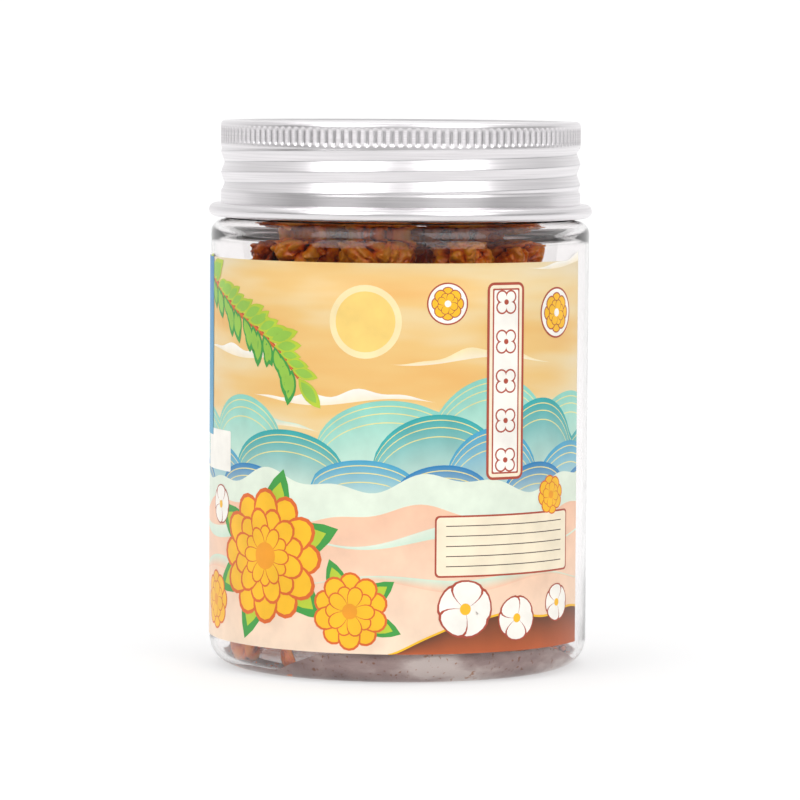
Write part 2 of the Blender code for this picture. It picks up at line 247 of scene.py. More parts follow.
def addWorld():
    # a white studio with a grey belt for the metal to mirror, darker to the left, and a dark slit at
    # eye height, so that the plastic stays clear
    world = bpy.data.worlds.new("studio")
    world.use_nodes = True
    tree = world.node_tree
    direction = addNode(tree, "ShaderNodeTexCoord").outputs["Generated"]
    up = splitVector(tree, direction)[2]
    sides = {0: direction, 1: studio["darkSide"]}
    facing = addNode(tree, "ShaderNodeVectorMath", sides, operation="DOT_PRODUCT").outputs["Value"]
    belt = rampNode(tree, mathNode(tree, "MULTIPLY_ADD", facing, 0.5, 0.5), studio["belt"])
    fromSlit = mathNode(tree, "ABSOLUTE", mathNode(tree, "SUBTRACT", up, studio["slitHeight"]))
    belt = mixColour(tree, smoothStep(tree, fromSlit, *studio["slitEdge"]), grey(studio["slitGrey"]), belt)
    colour = mixColour(tree, smoothStep(tree, up, *studio["beltTop"]), belt, grey(1.0))
    background = tree.nodes["Background"]
    tree.links.new(colour, background.inputs["Color"])
    background.inputs["Strength"].default_value = studio["worldStrength"]
    bpy.context.scene.world = world
    bpy.context.scene.view_settings.view_transform = "Standard"


# Finishes

def newMaterial(name, colour, roughness, metallic=0.0):
    material = bpy.data.materials.new(name)
    material.use_nodes = True
    tree = material.node_tree
    shader = tree.nodes["Principled BSDF"]
    shader.inputs["Base Color"].default_value = colour
    shader.inputs["Roughness"].default_value = roughness
    shader.inputs["Metallic"].default_value = metallic
    return material, tree, shader


def noiseNode(tree, vector, scale, detail):
    inputs = {"Vector": vector, "Scale": scale, "Detail": detail}
    return addNode(tree, "ShaderNodeTexNoise", inputs).outputs["Fac"]


def objectNoise(tree, scale, stretch=(1.0, 1.0, 1.0), detail=4.0):
    # noise on the piece's own coordinates, scale in cycles a metre
    position = addNode(tree, "ShaderNodeTexCoord").outputs["Object"]
    mapping = addNode(tree, "ShaderNodeMapping", {"Vector": position, "Scale": stretch})
    return noiseNode(tree, mapping.outputs["Vector"], scale, detail)


def spunNoise(tree, scale, drift=0.02):
    # noise in rings about the piece's own axis, as on spun sheet; drift breaks the rings up a little
    x, y, z = splitVector(tree, addNode(tree, "ShaderNodeTexCoord").outputs["Object"])
    ring = joinVector(tree, lengthNode(tree, x, y), mathNode(tree, "MULTIPLY", x, drift), z)
    return noiseNode(tree, ring, scale, 2.0)


def attributeNode(tree, name, output="Fac"):
    return addNode(tree, "ShaderNodeAttribute", attribute_name=name).outputs[output]


def rampNode(tree, value, stops):
    # each stop is its position and a colour, or a number for a grey
    node = addNode(tree, "ShaderNodeValToRGB", {"Fac": value})
    elements = node.color_ramp.elements
    while len(elements) < len(stops):
        elements.new(0.5)
    for element, (position, colour) in zip(elements, stops):
        element.position = position
        element.color = grey(colour) if isinstance(colour, float) else screenColour(*colour)
    return node.outputs["Color"]


def addBump(tree, shader, height, strength, distance):
    inputs = {"Height": height, "Strength": strength, "Distance": distance}
    tree.links.new(addNode(tree, "ShaderNodeBump", inputs).outputs["Normal"], shader.inputs["Normal"])


def grey(value):
    return (value, value, value, 1.0)


def mixColour(tree, share, first, second, blend="MIX"):
    inputs = {"Factor": share, "A": first, "B": second}
    return addNode(tree, "ShaderNodeMix", inputs, data_type="RGBA", blend_type=blend).outputs["Result"]


def satinAluminium():
    # fine lines run round the cap, where the sheet was polished; the flutes and the thread's creases get a
    # darker colour as painted shade, and their ribs are worn rougher
    material, tree, shader = newMaterial("satinAluminium", grey(0.86), 0.3, 1.0)
    polished = rampNode(tree, spunNoise(tree, 3000.0), ((0.3, (220, 217, 219)), (0.7, (236, 233, 235))))
    # painted shade: the recess mask paints the flutes and the thread's creases darker
    colour = mixColour(tree, attributeNode(tree, "recess"), polished, screenColour(208, 206, 208))
    tree.links.new(colour, shader.inputs["Base Color"])
    rough = rampNode(tree, attributeNode(tree, "rib"), ((0.0, 0.3), (1.0, 0.62)))
    tree.links.new(rough, shader.inputs["Roughness"])
    return material


def clearPlastic():
    material, tree, shader = newMaterial("clearPlastic", screenColour(250, 248, 248), 0.03)
    shader.inputs["Transmission Weight"].default_value = 1.0
    shader.inputs["IOR"].default_value = 1.5
    addBump(tree, shader, objectNoise(tree, 90.0, (1.0, 1.0, 1.8), 2.0), 0.1, 0.12 * mm)
    return material


def whiteFoam():
    material, tree, shader = newMaterial("whiteFoam", grey(0.86), 0.75)
    addBump(tree, shader, objectNoise(tree, 2200.0), 0.4, 0.05 * mm)
    return material


def labelPaper():
    # cream sky with soft drifting streaks, printed on thin film
    material, tree, shader = newMaterial("labelPaper", screenColour(251, 232, 198), 0.42)
    tones = ((0.36, (228, 213, 182)), (0.48, (228, 202, 150)), (0.58, (228, 188, 118)), (0.7, (226, 174, 98)))
    sky = rampNode(tree, objectNoise(tree, 1.0, (16.0, 16.0, 75.0), 3.0), tones)
    tree.links.new(sky, shader.inputs["Base Color"])
    addBump(tree, shader, objectNoise(tree, 1500.0), 0.05, 0.02 * mm)
    return material


def printedInk():
    # flat and graded inks from the print's own colours, a little uneven like brushwork
    material, tree, shader = newMaterial("printedInk", grey(0.8), 0.42)
    wash = rampNode(tree, objectNoise(tree, 160.0, detail=5.0), ((0.3, 0.8), (0.68, 0.93)))
    colour = mixColour(tree, 1.0, attributeNode(tree, "ink", "Color"), wash, "MULTIPLY")
    tree.links.new(colour, shader.inputs["Base Color"])
    return material


# dark creases as painted shade, middle, light, and the folds' bright edges as a painted highlight, for each
# finish
fleshTonesWithPaintedLight = {
    "gold": ((92, 24, 2), (216, 80, 4), (255, 126, 8), (255, 156, 26)),
    "amber": ((70, 17, 2), (188, 64, 4), (250, 114, 8), (255, 144, 26)),
    "brown": ((46, 10, 2), (130, 40, 6), (204, 76, 12), (246, 122, 30)),
}


def driedFungus(name, dark, middle, light, edge):
    # dark in the creases as painted shade and golden on the folds' crests, with a painted highlight at their
    # edges; glossy like dried jelly
    material, tree, shader = newMaterial(name + "Fungus", screenColour(*light), 0.32)
    patches = objectNoise(tree, 260.0, detail=4.0)
    speckle = objectNoise(tree, 1400.0, detail=3.0)
    height = attributeNode(tree, "fold")
    for unevenness, reach in ((patches, 0.9), (speckle, 0.3)):
        change = mathNode(tree, "MULTIPLY_ADD", unevenness, reach, -0.5 * reach)
        height = mathNode(tree, "ADD", height, change)
    # by crest height: painted shade deep in the creases and a painted highlight at the crests
    colour = rampNode(tree, height, ((0.22, dark), (0.38, middle), (0.58, light), (0.84, edge)))
    tree.links.new(colour, shader.inputs["Base Color"])
    tree.links.new(rampNode(tree, patches, ((0.35, 0.16), (0.65, 0.4))), shader.inputs["Roughness"])
    addBump(tree, shader, objectNoise(tree, 900.0, detail=5.0), 0.5, 0.25 * mm)
    return material


def fungusPowder():
    # greyish mauve powder with pale smudges and a few golden specks; its tone and smudges are partly dust and
    # partly painted light, the floor's light as it comes through the thick base
    material, tree, shader = newMaterial("fungusPowder", screenColour(150, 124, 122), 0.7)
    # pale patches: dust, and partly painted light from the floor seen through the base
    dustAndLightTones = ((0.36, (150, 122, 118)), (0.52, (190, 164, 160)), (0.66, (240, 226, 220)))
    dustAndLight = rampNode(tree, objectNoise(tree, 70.0, (1.0, 1.0, 2.6), 5.0), dustAndLightTones)
    specks = rampNode(tree, objectNoise(tree, 900.0, detail=2.0), ((0.62, 1.0), (0.7, (214, 170, 140))))
    tree.links.new(mixColour(tree, 1.0, dustAndLight, specks, "MULTIPLY"), shader.inputs["Base Color"])
    return material


# Turned pieces

def bridge(bm, upper, lower):
    # joins two rings, where one may have a multiple of the other's points
    many, few = (upper, lower) if len(upper) >= len(lower) else (lower, upper)
    share = len(many) // len(few)
    if len(few) == 1:
        for k in range(len(many)):
            bm.faces.new((many[k], many[(k + 1) % len(many)], few[0]))
        return
    for k in range(len(few)):
        side = [many[(k * share + i) % len(many)] for i in range(share + 1)]
        bm.faces.new((*side, few[(k + 1) % len(few)], few[k]))


def turnedMesh(name, profile, steps, smoothAngle=40.0):
    # turns a closed profile of (r, z) points about Z, with one vertex at each pole;
    # steps is one count, or one for each point of the profile
    counts = [steps] * len(profile) if isinstance(steps, int) else steps
    bm = bmesh.new()
    rings = []
    for (r, z), count in zip(profile, counts):
        if r < 1e-7:
            rings.append([bm.verts.new((0.0, 0.0, z))])
            continue
        rings.append([bm.verts.new(around(r, math.tau * k / count, z)) for k in range(count)])
    for upper, lower in zip(rings, rings[1:]):
        bridge(bm, upper, lower)
    if len(rings[0]) > 1:
        bridge(bm, rings[-1], rings[0])
    bmesh.ops.recalc_face_normals(bm, faces=bm.faces)
    return meshFromBmesh(name, bm, smoothAngle)


def arc(middleR, middleZ, radius, startDeg, endDeg, steps):
    points = []
    for i in range(steps + 1):
        angle = math.radians(startDeg + (endDeg - startDeg) * i / steps)
        points.append((middleR + radius * math.cos(angle), middleZ + radius * math.sin(angle)))
    return points


def around(r, angle, z):
    return (r * math.cos(angle), r * math.sin(angle), z)


def straight(r, low, high, count):
    # points up or down a plain wall
    return [(r, low + (high - low) * i / count) for i in range(count + 1)]


# The thread and the flutes, pressed into a turned wall by one tree

thread = {
    "pitch": 4.65 * mm,
    "grooveHeight": 110.3 * mm,
    "low": 107.0 * mm,
    "high": 115.3 * mm,
    "fade": 1.2 * mm,
}


def pressTree():
    # moves a turned wall in or out: a helical V groove, and a band of upright pill-shaped flutes
    floats = (
        "Pitch", "Groove Height", "Groove Depth", "Thread Low", "Thread High", "Thread Fade", "Inner Radius",
        "Flute Middle", "Flute Straight", "Flute Half Width", "Flute Edge", "Flute Depth", "Crease",
    )
    tree, value = newTree("pressedWall", {"Float": floats, "Int": ("Flutes",)})

    def calc(operation, *values):
        return mathNode(tree, operation, *values)

    x, y, z = splitVector(tree, addNode(tree, "GeometryNodeInputPosition").outputs[0])
    turn = calc("DIVIDE", calc("ARCTAN2", y, x), math.tau)
    radius = lengthNode(tree, x, y)

    # the groove: 1 at its bottom, 0 half a pitch above and below, fading out at both ends of the thread
    rise = calc("SUBTRACT", z, value["Groove Height"])
    phase = calc("SUBTRACT", calc("DIVIDE", rise, value["Pitch"]), turn)
    groove = calc("MULTIPLY_ADD", calc("PINGPONG", phase, 0.5), -2.0, 1.0)
    lowEnd = calc("SUBTRACT", value["Thread Low"], value["Thread Fade"])
    highEnd = calc("ADD", value["Thread High"], value["Thread Fade"])
    fadeIn = smoothStep(tree, z, lowEnd, value["Thread Low"])
    fadeOut = calc("SUBTRACT", 1.0, smoothStep(tree, z, value["Thread High"], highEnd))
    threaded = calc("MULTIPLY", fadeIn, fadeOut)

    # a thin line along each crease of the groove, where its slopes meet; the cap paints it darker as painted
    # shade
    middle = calc("ABSOLUTE", calc("SUBTRACT", groove, 0.5))
    line = smoothStep(tree, middle, calc("SUBTRACT", 0.5, value["Crease"]), 0.5)
    line = calc("MULTIPLY", line, threaded)
    groove = calc("MULTIPLY", calc("MULTIPLY", groove, threaded), value["Groove Depth"])

    # the flutes: distance to an upright line in the middle of each one
    share = calc("FRACT", calc("MULTIPLY_ADD", turn, value["Flutes"], 0.5))
    wallLength = calc("DIVIDE", calc("MULTIPLY", radius, math.tau), value["Flutes"])
    across = calc("MULTIPLY", calc("SUBTRACT", share, 0.5), wallLength)
    away = calc("ABSOLUTE", calc("SUBTRACT", z, value["Flute Middle"]))
    along = calc("MAXIMUM", calc("SUBTRACT", away, value["Flute Straight"]), 0.0)
    inside = calc("SUBTRACT", value["Flute Half Width"], value["Flute Edge"])
    distance = lengthNode(tree, across, along)
    flute = calc("SUBTRACT", 1.0, smoothStep(tree, distance, inside, value["Flute Half Width"]))
    bandEdge = calc("ADD", value["Flute Straight"], value["Flute Half Width"])
    band = calc("SUBTRACT", 1.0, smoothStep(tree, away, value["Flute Straight"], bandEdge))

    # where the finish changes: recesses and crease lines, which the cap paints darker as painted shade, and
    # the ribs between the flutes
    onWall = calc("GREATER_THAN", radius, value["Inner Radius"])
    masks = {
        "recess": calc("MAXIMUM", flute, line),
        "rib": calc("MULTIPLY", band, calc("SUBTRACT", 1.0, flute)),
    }
    marked = value["Geometry"]
    for name, mask in masks.items():
        inputs = {"Geometry": marked, "Name": name, "Value": calc("MULTIPLY", mask, onWall)}
        store = addNode(tree, "GeometryNodeStoreNamedAttribute", inputs, data_type="FLOAT", domain="POINT")
        marked = store.outputs[0]

    depth = calc("ADD", groove, calc("MULTIPLY", flute, value["Flute Depth"]))
    shrink = calc("DIVIDE", calc("MULTIPLY", calc("MULTIPLY", depth, onWall), -1.0), radius)
    offset = joinVector(tree, calc("MULTIPLY", x, shrink), calc("MULTIPLY", y, shrink), 0.0)
    move = addNode(tree, "GeometryNodeSetPosition", {"Geometry": marked, "Offset": offset})
    return finishTree(tree, move.outputs[0], value["Material"])


# The cap

cap = {
    "top": 122.0 * mm,
    "radius": 40.3 * mm,
    "sheet": 0.35 * mm,
    "edge": 1.0 * mm,
    "panelRadius": 37.4 * mm,
    "panelDrop": 0.35 * mm,
    "flutes": 136,
    "columns": 9,
    "fluteTop": 120.75 * mm,
    "fluteBottom": 116.75 * mm,
    "fluteWidth": 1.3 * mm,
    "fluteDepth": 0.38 * mm,
    "fluteEdge": 0.45 * mm,
    "grooveDepth": 0.82 * mm,
    "crease": 0.1,
    "wallBottom": 103.6 * mm,
    "beadRadius": 42.95 * mm,
    "beadTop": 103.5 * mm,
    "beadBottom": 100.5 * mm,
    "curlWidth": 0.9 * mm,
    "curlGap": 0.2 * mm,
    "curlRise": 0.7 * mm,
}


def capProfile():
    top = cap["top"]
    wall = cap["radius"]
    inner = wall - cap["sheet"]
    panelTop = top - cap["panelDrop"]
    panelUnder = panelTop - cap["sheet"]
    step = 0.5 * mm
    beadHalf = 0.5 * (cap["beadTop"] - cap["beadBottom"])
    beadMiddle = cap["beadBottom"] + beadHalf
    beadR = cap["beadRadius"] - beadHalf
    bandTop = top - cap["edge"]
    bandLow = cap["fluteBottom"] - 0.6 * mm
    profile = [(0.0, panelTop), (0.5 * wall, panelTop)]
    profile += [(cap["panelRadius"] - step, panelTop), (cap["panelRadius"], top)]
    profile += arc(wall - cap["edge"], bandTop, cap["edge"], 90.0, 0.0, 6)
    profile += straight(wall, bandTop, bandLow, 18)[1:]
    fine = len(profile)
    profile += straight(wall, bandLow, cap["wallBottom"], 104)[1:]
    profile += arc(beadR, beadMiddle, beadHalf, 78.0, -90.0, 12)
    profile.append((inner + cap["curlWidth"], cap["beadBottom"]))
    profile.append((inner + cap["curlGap"], cap["beadBottom"] + cap["curlRise"]))
    profile += straight(inner, cap["wallBottom"], bandLow, 20)
    profile += straight(inner, bandLow, bandTop, 4)[1:]
    profile += [(cap["panelRadius"] - step, panelUnder), (0.0, panelUnder)]
    steps = cap["flutes"] * cap["columns"]
    return profile, [steps if i < fine else steps // cap["columns"] * 3 for i in range(len(profile))]


def buildCap(tree, material):
    profile, steps = capProfile()
    piece = newObject("capFine", turnedMesh("capFine", profile, steps), material)
    middle = 0.5 * (cap["fluteTop"] + cap["fluteBottom"])
    halfWidth = 0.5 * cap["fluteWidth"]
    values = {
        "Pitch": thread["pitch"],
        "Groove Height": thread["grooveHeight"],
        "Groove Depth": cap["grooveDepth"],
        "Thread Low": thread["low"],
        "Thread High": thread["high"],
        "Thread Fade": thread["fade"],
        "Inner Radius": cap["panelRadius"] + 0.1 * mm,
        "Flutes": cap["flutes"],
        "Flute Middle": middle,
        "Flute Straight": cap["fluteTop"] - middle - halfWidth,
        "Flute Half Width": halfWidth,
        "Flute Edge": cap["fluteEdge"],
        "Flute Depth": cap["fluteDepth"],
        "Crease": cap["crease"],
        "Material": material,
    }
    runTree(piece, tree, values)
    place(piece, "cap", "satin_aluminium", "cap")
    print("cap: pressed", cap["flutes"], "flutes and the thread groove")


# The sealing disc

seal = {"radius": 38.9 * mm, "low": 120.3 * mm, "high": 120.9 * mm, "edge": 0.15 * mm}


def buildSeal(material):
    edge = seal["edge"]
    r = seal["radius"] - edge
    profile = [(0.0, seal["high"]), (0.5 * r, seal["high"])]
    profile += arc(r, seal["high"] - edge, edge, 90.0, 0.0, 3)
    profile += arc(r, seal["low"] + edge, edge, 0.0, -90.0, 3)
    profile += [(0.5 * r, seal["low"]), (0.0, seal["low"])]
    piece = newObject("sealFine", turnedMesh("sealFine", profile, 96), material)
    place(piece, "seal", "seal_foam", "seal")
    print("seal: turned")


# The jar

jar = {
    "radius": 42.42 * mm,
    "wall": 0.8 * mm,
    "corner": 6.0 * mm,
    "innerCorner": 4.8 * mm,
    "floor": 1.2 * mm,
    "footWidth": 3.0 * mm,
    "pushUp": 4.5 * mm,
    "pushUpWall": 1.8 * mm,
    "shoulderStart": 96.9 * mm,
    "shoulderRadius": 3.0 * mm,
    "shoulderLow": 94.6 * mm,
    "shoulderGap": 0.4 * mm,
    "curveSteps": 12,
    "neck": 38.6 * mm,
    "neckWall": 1.0 * mm,
    "lip": 120.0 * mm,
    "lipEdge": 0.35 * mm,
    "ridge": 0.75 * mm,
    "ridgeLow": 108.6 * mm,
    "ridgeHigh": 114.6 * mm,
    "steps": 192,
}


def domeHeight(r):
    # underside of the pushed-up base
    edge = jar["radius"] - jar["corner"] - jar["footWidth"]
    return max(0.0, jar["pushUp"] * (1.0 - (r / edge) ** 2))


def floorHeight(r):
    share = domeHeight(r) / jar["pushUp"]
    return domeHeight(r) + jar["floor"] + (jar["pushUpWall"] - jar["floor"]) * share


def jarProfile():
    steps = jar["curveSteps"]
    arcR = jar["radius"] - jar["corner"]
    domeEdge = arcR - jar["footWidth"]
    domeRadii = [domeEdge * i / steps for i in range(steps + 1)]
    shoulderR = jar["radius"] - jar["shoulderRadius"]
    shoulderTop = jar["shoulderStart"] + jar["shoulderRadius"]
    wallR = jar["radius"] - jar["wall"]
    inner = jar["neck"] - jar["neckWall"]
    lipEdge = jar["lipEdge"]
    profile = [(r, floorHeight(r)) for r in domeRadii]
    profile += arc(arcR, jar["corner"], jar["innerCorner"], -90.0, 0.0, steps)
    profile += straight(wallR, 2.0 * jar["corner"], jar["shoulderLow"], 6)[:-1]
    # the inner shoulder is a quarter of an ellipse
    rise = shoulderTop - jar["shoulderGap"] - jar["shoulderLow"]
    for x, z in arc(0.0, 0.0, 1.0, 0.0, 90.0, steps):
        profile.append((inner + (wallR - inner) * x, jar["shoulderLow"] + rise * z))
    profile += straight(inner, shoulderTop + 0.2 * mm, jar["lip"] - lipEdge, 4)
    profile += arc(jar["neck"] - lipEdge, jar["lip"] - lipEdge, lipEdge, 90.0, 0.0, 3)
    profile += straight(jar["neck"], jar["lip"] - 3.0 * mm, shoulderTop + jar["shoulderGap"], 44)
    profile += arc(shoulderR, jar["shoulderStart"], jar["shoulderRadius"], 90.0, 0.0, steps)
    profile += straight(jar["radius"], jar["shoulderStart"], jar["corner"], 8)[1:-1]
    profile += arc(arcR, jar["corner"], jar["corner"], 0.0, -90.0, 14)
    profile += [(r, domeHeight(r)) for r in reversed(domeRadii)]
    return profile


def buildJar(tree, material):
    piece = newObject("jarFine", turnedMesh("jarFine", jarProfile(), jar["steps"]), material)
    values = {
        "Pitch": thread["pitch"],
        "Groove Height": thread["grooveHeight"] + 0.5 * thread["pitch"],
        "Groove Depth": -jar["ridge"],
        "Thread Low": jar["ridgeLow"],
        "Thread High": jar["ridgeHigh"],
        "Thread Fade": thread["fade"],
        "Inner Radius": jar["neck"] - 0.5 * jar["neckWall"],
        "Flutes": 1,
        "Flute Half Width": mm,
        "Flute Edge": 0.5 * mm,
        "Flute Depth": 0.0,
        "Crease": 0.01,
        "Material": material,
    }
    runTree(piece, tree, values)
    place(piece, "jar", "clear_plastic", "jar")
    print("jar: turned, with the thread ridge on its neck")


# The dried fungus

heads = {
    "warpScale": 70.0,
    "warp": 4.5 * mm,
    "folds": 115.0,
    "foldDepth": 2.7 * mm,
    "ribs": 330.0,
    "ribDepth": 1.2 * mm,
    "grain": 760.0,
    "grainDepth": 0.42 * mm,
    "swell": 0.9 * mm,
    "levels": 3,
    "backLevels": 2,
    "seed": 29,
}

# heads on top of the pile, clear of the wall, and those at the jar's foot
topHeads = (18, 19, 20, 21, 22, 23, 24, 25, 26, 27)
nearHeads = (1, 2, 3, 4, 5, *topHeads)


def billow(point, scale):
    # 0 along meandering creases and 1 on the rounded folds between them
    return min(1.0, abs(noise.noise(point * scale)) * 2.7)


def sculptHead(bm, shift, swell):
    # meandering folds with ribs and a fine grain, like a dried brain-shaped fungus
    foldShadeAndHighlight = bm.verts.layers.float.new("fold")
    bm.normal_update()
    moves = []
    for vert in bm.verts:
        point = vert.co + shift
        warped = point + noise.noise_vector(point * heads["warpScale"]) * heads["warp"]
        fold = billow(warped, heads["folds"]) ** 0.6
        rib = billow(warped, heads["ribs"]) ** 0.75
        grain = billow(point, heads["grain"])
        sink = heads["foldDepth"] * (1.0 - fold) + heads["ribDepth"] * (1.0 - rib)
        sink += heads["grainDepth"] * (1.0 - grain)
        # the crest height, which the finish turns into painted shade in the creases and a painted highlight
        # on the crests
        vert[foldShadeAndHighlight] = 0.44 * fold + 0.38 * rib + 0.18 * grain
        moves.append(vert.normal * (swell - sink))
    for vert, move in zip(bm.verts, moves):
        vert.co += move


def buildHead(name, material):
    # the solid of this name, rounded and then folded
    number = int(name[-2:])
    bm = bmesh.new()
    bm.from_mesh(frame["nodes"][name].data)
    bmesh.ops.remove_doubles(bm, verts=bm.verts, dist=0.01 * mm)
    piece = newObject(f"fungusFine_{number:02d}", meshFromBmesh("cage", bm), material)
    smooth = piece.modifiers.new("rounding", "SUBSURF")
    smooth.levels = heads["levels"] if number in nearHeads else heads["backLevels"]
    smooth.render_levels = smooth.levels
    plainMesh(piece)
    dice = random.Random(heads["seed"] + number)
    shift = Vector([dice.uniform(-1.0, 1.0) for _ in range(3)])
    bm = bmesh.new()
    bm.from_mesh(piece.data)
    sculptHead(bm, shift, heads["swell"] if number in topHeads else 0.0)
    piece.data = meshFromBmesh(piece.name, bm, 60.0)
    piece.data.materials.append(material)
    return piece


def buildFungus(flesh):
    # without a seed, the warp's noise is drawn anew in every run
    noise.seed_set(heads["seed"])
    finishes = {"fungus_" + name: material for name, material in flesh.items()}
    for part in frame["record"]["subparts"]:
        slot = part["material_slot"]
        if slot in finishes:
            place(buildHead(part["node"], finishes[slot]), "jar", slot, part["node"])
    print("fungus: folded every head")


# Chips and crumbs that lie in the gutter round the pushed-up base

crumbs = {
    "dust": {
        "count": 150, "detail": 2, "seed": 5, "turnsDeg": (0, 360),
        "radii": (35.0, 39.2), "height": 0.7, "size": (0.08, 0.28),
    },
    "bits": {
        "count": 90, "detail": 3, "seed": 11, "turnsDeg": (-25, 200),
        "radii": (30.0, 37.5), "height": 1.4, "size": (0.7, 1.5),
    },
    "jitter": 0.3 * mm,
}

# fine powder that clings to the gutter, so its outside lies a hair within the plastic; deepest at the front
powder = {"gap": -0.04 * mm, "thick": 0.5 * mm, "uneven": 0.8 * mm, "bumps": 4.0, "rows": 10}

# place round the jar in degrees from the front, and the powder's height there in millimetres
powderHeights = ((-180, 3.0), (-72, 2.2), (-40, 2.4), (-24, 6.9), (52, 6.9), (72, 3.0), (180, 3.0))

# place round the jar, radius, height, turns and size of each flake
flakes = (
    (-64.0, 38.2, 4.6, (12.0, -22.0, 30.0), (2.6, 0.55, 3.9)),
    (-57.0, 38.0, 5.0, (-8.0, 30.0, 52.0), (1.7, 0.5, 3.3)),
    (-38.0, 38.4, 4.4, (6.0, -12.0, -20.0), (2.8, 0.5, 3.4)),
)


def chipMesh(name, seed, detail=3):
    # an irregular dry flake, about 2 mm across before it is sized
    bm = bmesh.new()
    bmesh.ops.create_icosphere(bm, subdivisions=detail, radius=1.0 * mm)
    foldShadeAndHighlight = bm.verts.layers.float.new("fold")
    for vert in bm.verts:
        point = vert.co.normalized() * 1.3 + Vector((seed, seed, seed))
        swell = noise.noise(point)
        vert.co *= 1.0 + 0.5 * swell
        # the crest height, for the same painted shade and painted highlight on the crumbs and flakes
        vert[foldShadeAndHighlight] = max(0.0, min(1.0, 0.62 + 0.6 * swell))
    return meshFromBmesh(name, bm, 60.0)


def crumbTree():
    # the crumb on every point, each moved, turned and sized by chance from the seed
    sockets = {"Object": ("Crumb",), "Float": ("Spread", "Smallest", "Largest"), "Int": ("Seed",)}
    tree, value = newTree("scatteredCrumbs", sockets)

    def chance(kind, low, high, shift):
        inputs = {"Min": low, "Max": high, "Seed": mathNode(tree, "ADD", value["Seed"], shift)}
        return addNode(tree, "FunctionNodeRandomValue", inputs, data_type=kind).outputs["Value"]

    unit = chance("FLOAT_VECTOR", (-1.0, -1.0, -0.12), (1.0, 1.0, 0.12), 0)
    shift = addNode(tree, "ShaderNodeVectorMath", {0: unit, "Scale": value["Spread"]}, operation="SCALE")
    moved = {"Geometry": value["Geometry"], "Offset": shift.outputs[0]}
    move = addNode(tree, "GeometryNodeSetPosition", moved)
    info = addNode(tree, "GeometryNodeObjectInfo", {"Object": value["Crumb"]})
    inputs = {
        "Points": move.outputs[0],
        "Instance": info.outputs["Geometry"],
        "Rotation": chance("FLOAT_VECTOR", (0.0, 0.0, 0.0), (6.28, 6.28, 6.28), 1),
        "Scale": chance("FLOAT", value["Smallest"], value["Largest"], 2),
    }
    scatter = addNode(tree, "GeometryNodeInstanceOnPoints", inputs)
    return finishTree(tree, scatter.outputs[0], value["Material"])


def buildCrumbs(name, tree, material):
    # points on the jar's floor, with a crumb on each
    layout = crumbs[name]
    dice = random.Random(layout["seed"])
    points = []
    for _ in range(layout["count"]):
        angle = math.radians(dice.uniform(*layout["turnsDeg"]))
        r = dice.uniform(*layout["radii"]) * mm
        floor = floorHeight(r)
        past = r - jar["radius"] + jar["corner"]
        if past > 0.0:
            floor = jar["corner"] - math.sqrt(jar["innerCorner"] ** 2 - past ** 2)
        points.append(around(r, angle, floor + layout["height"] * mm))
    mesh = bpy.data.meshes.new(name)
    mesh.from_pydata(points, [], [])
    piece = newObject(name, mesh, material)
    crumb = bpy.data.objects.new("crumb", chipMesh("crumb", layout["seed"] - 2.0, layout["detail"]))
    values = {"Crumb": crumb, "Spread": crumbs["jitter"], "Seed": layout["seed"], "Material": material}
    values["Smallest"], values["Largest"] = layout["size"]
    runTree(piece, tree, values)
    place(piece, "jar", "fungus_amber")
    print(name + ": scattered on the jar's floor")


def powderHeight(azimuth):
    for (left, low), (right, high) in zip(powderHeights, powderHeights[1:]):
        if azimuth <= right:
            return low + (high - low) * (azimuth - left) / (right - left)
    return high


def powderLine(height, rho):
    # from the floor up the inside of the corner to a height
    corner = jar["corner"]
    end = math.asin(min(1.0, (height - corner) / rho))
    line = [(jar["radius"] - corner - jar["footWidth"], corner - rho)]
    for i in range(powder["rows"] + 1):
        t = -0.5 * math.pi + (end + 0.5 * math.pi) * i / powder["rows"]
        line.append((jar["radius"] - corner + rho * math.cos(min(t, 0.0)), corner + rho * math.sin(t)))
    return line


def buildPowder(material):
    bm = bmesh.new()
    outerRho = jar["innerCorner"] - powder["gap"]
    columns = []
    for k in range(jar["steps"]):
        angle = math.tau * k / jar["steps"]
        azimuth = (math.degrees(angle) + 270.0) % 360.0 - 180.0
        height = powderHeight(azimuth) * mm
        height += powder["uneven"] * noise.noise(Vector(around(powder["bumps"], angle, 0.0)))
        outer = powderLine(height, outerRho)
        inner = powderLine(height - 0.2 * mm, outerRho - powder["thick"])
        columns.append([bm.verts.new(around(r, angle, z)) for r, z in outer + inner[::-1]])
    for left, right in zip(columns, columns[1:] + columns[:1]):
        for i in range(len(left)):
            j = (i + 1) % len(left)
            bm.faces.new((left[i], left[j], right[j], right[i]))
    bmesh.ops.recalc_face_normals(bm, faces=bm.faces)
    piece = newObject("powder", meshFromBmesh("powder", bm), material)
    place(piece, "jar", "fungus_brown")
    print("powder: laid in the gutter")


def buildFlakes(material):
    for number, (azimuth, radius, height, turns, size) in enumerate(flakes, start=1):
        mesh = chipMesh(f"flake_{number}", 7.0 * number)
        angle = math.radians(azimuth)
        middle = Vector((radius * math.sin(angle), -radius * math.cos(angle), height)) * mm
        turn = Matrix.Rotation(angle, 4, "Z")
        for axis, degrees in zip("XYZ", turns):
            turn = turn @ Matrix.Rotation(math.radians(degrees), 4, axis)
        mesh.transform(Matrix.Translation(middle) @ turn @ Matrix.Diagonal((*size, 1.0)))
        piece = newObject(mesh.name, mesh, material)
        place(piece, "jar", "fungus_amber")
    print("flakes: laid against the wall")


# The label: flat art in (x, z) millimetres from the front's middle and the base, wrapped round the jar

label = {
    "radius": 42.54 * mm,
    "thickness": 0.07 * mm,
    "low": 6.8,
    "high": 91.7,
    "leftEnd": -72.4,
    "rightEnd": 50.4,
    "column": 1.25,
    "layer": 0.006 * mm,
    "margin": -56.5,
}

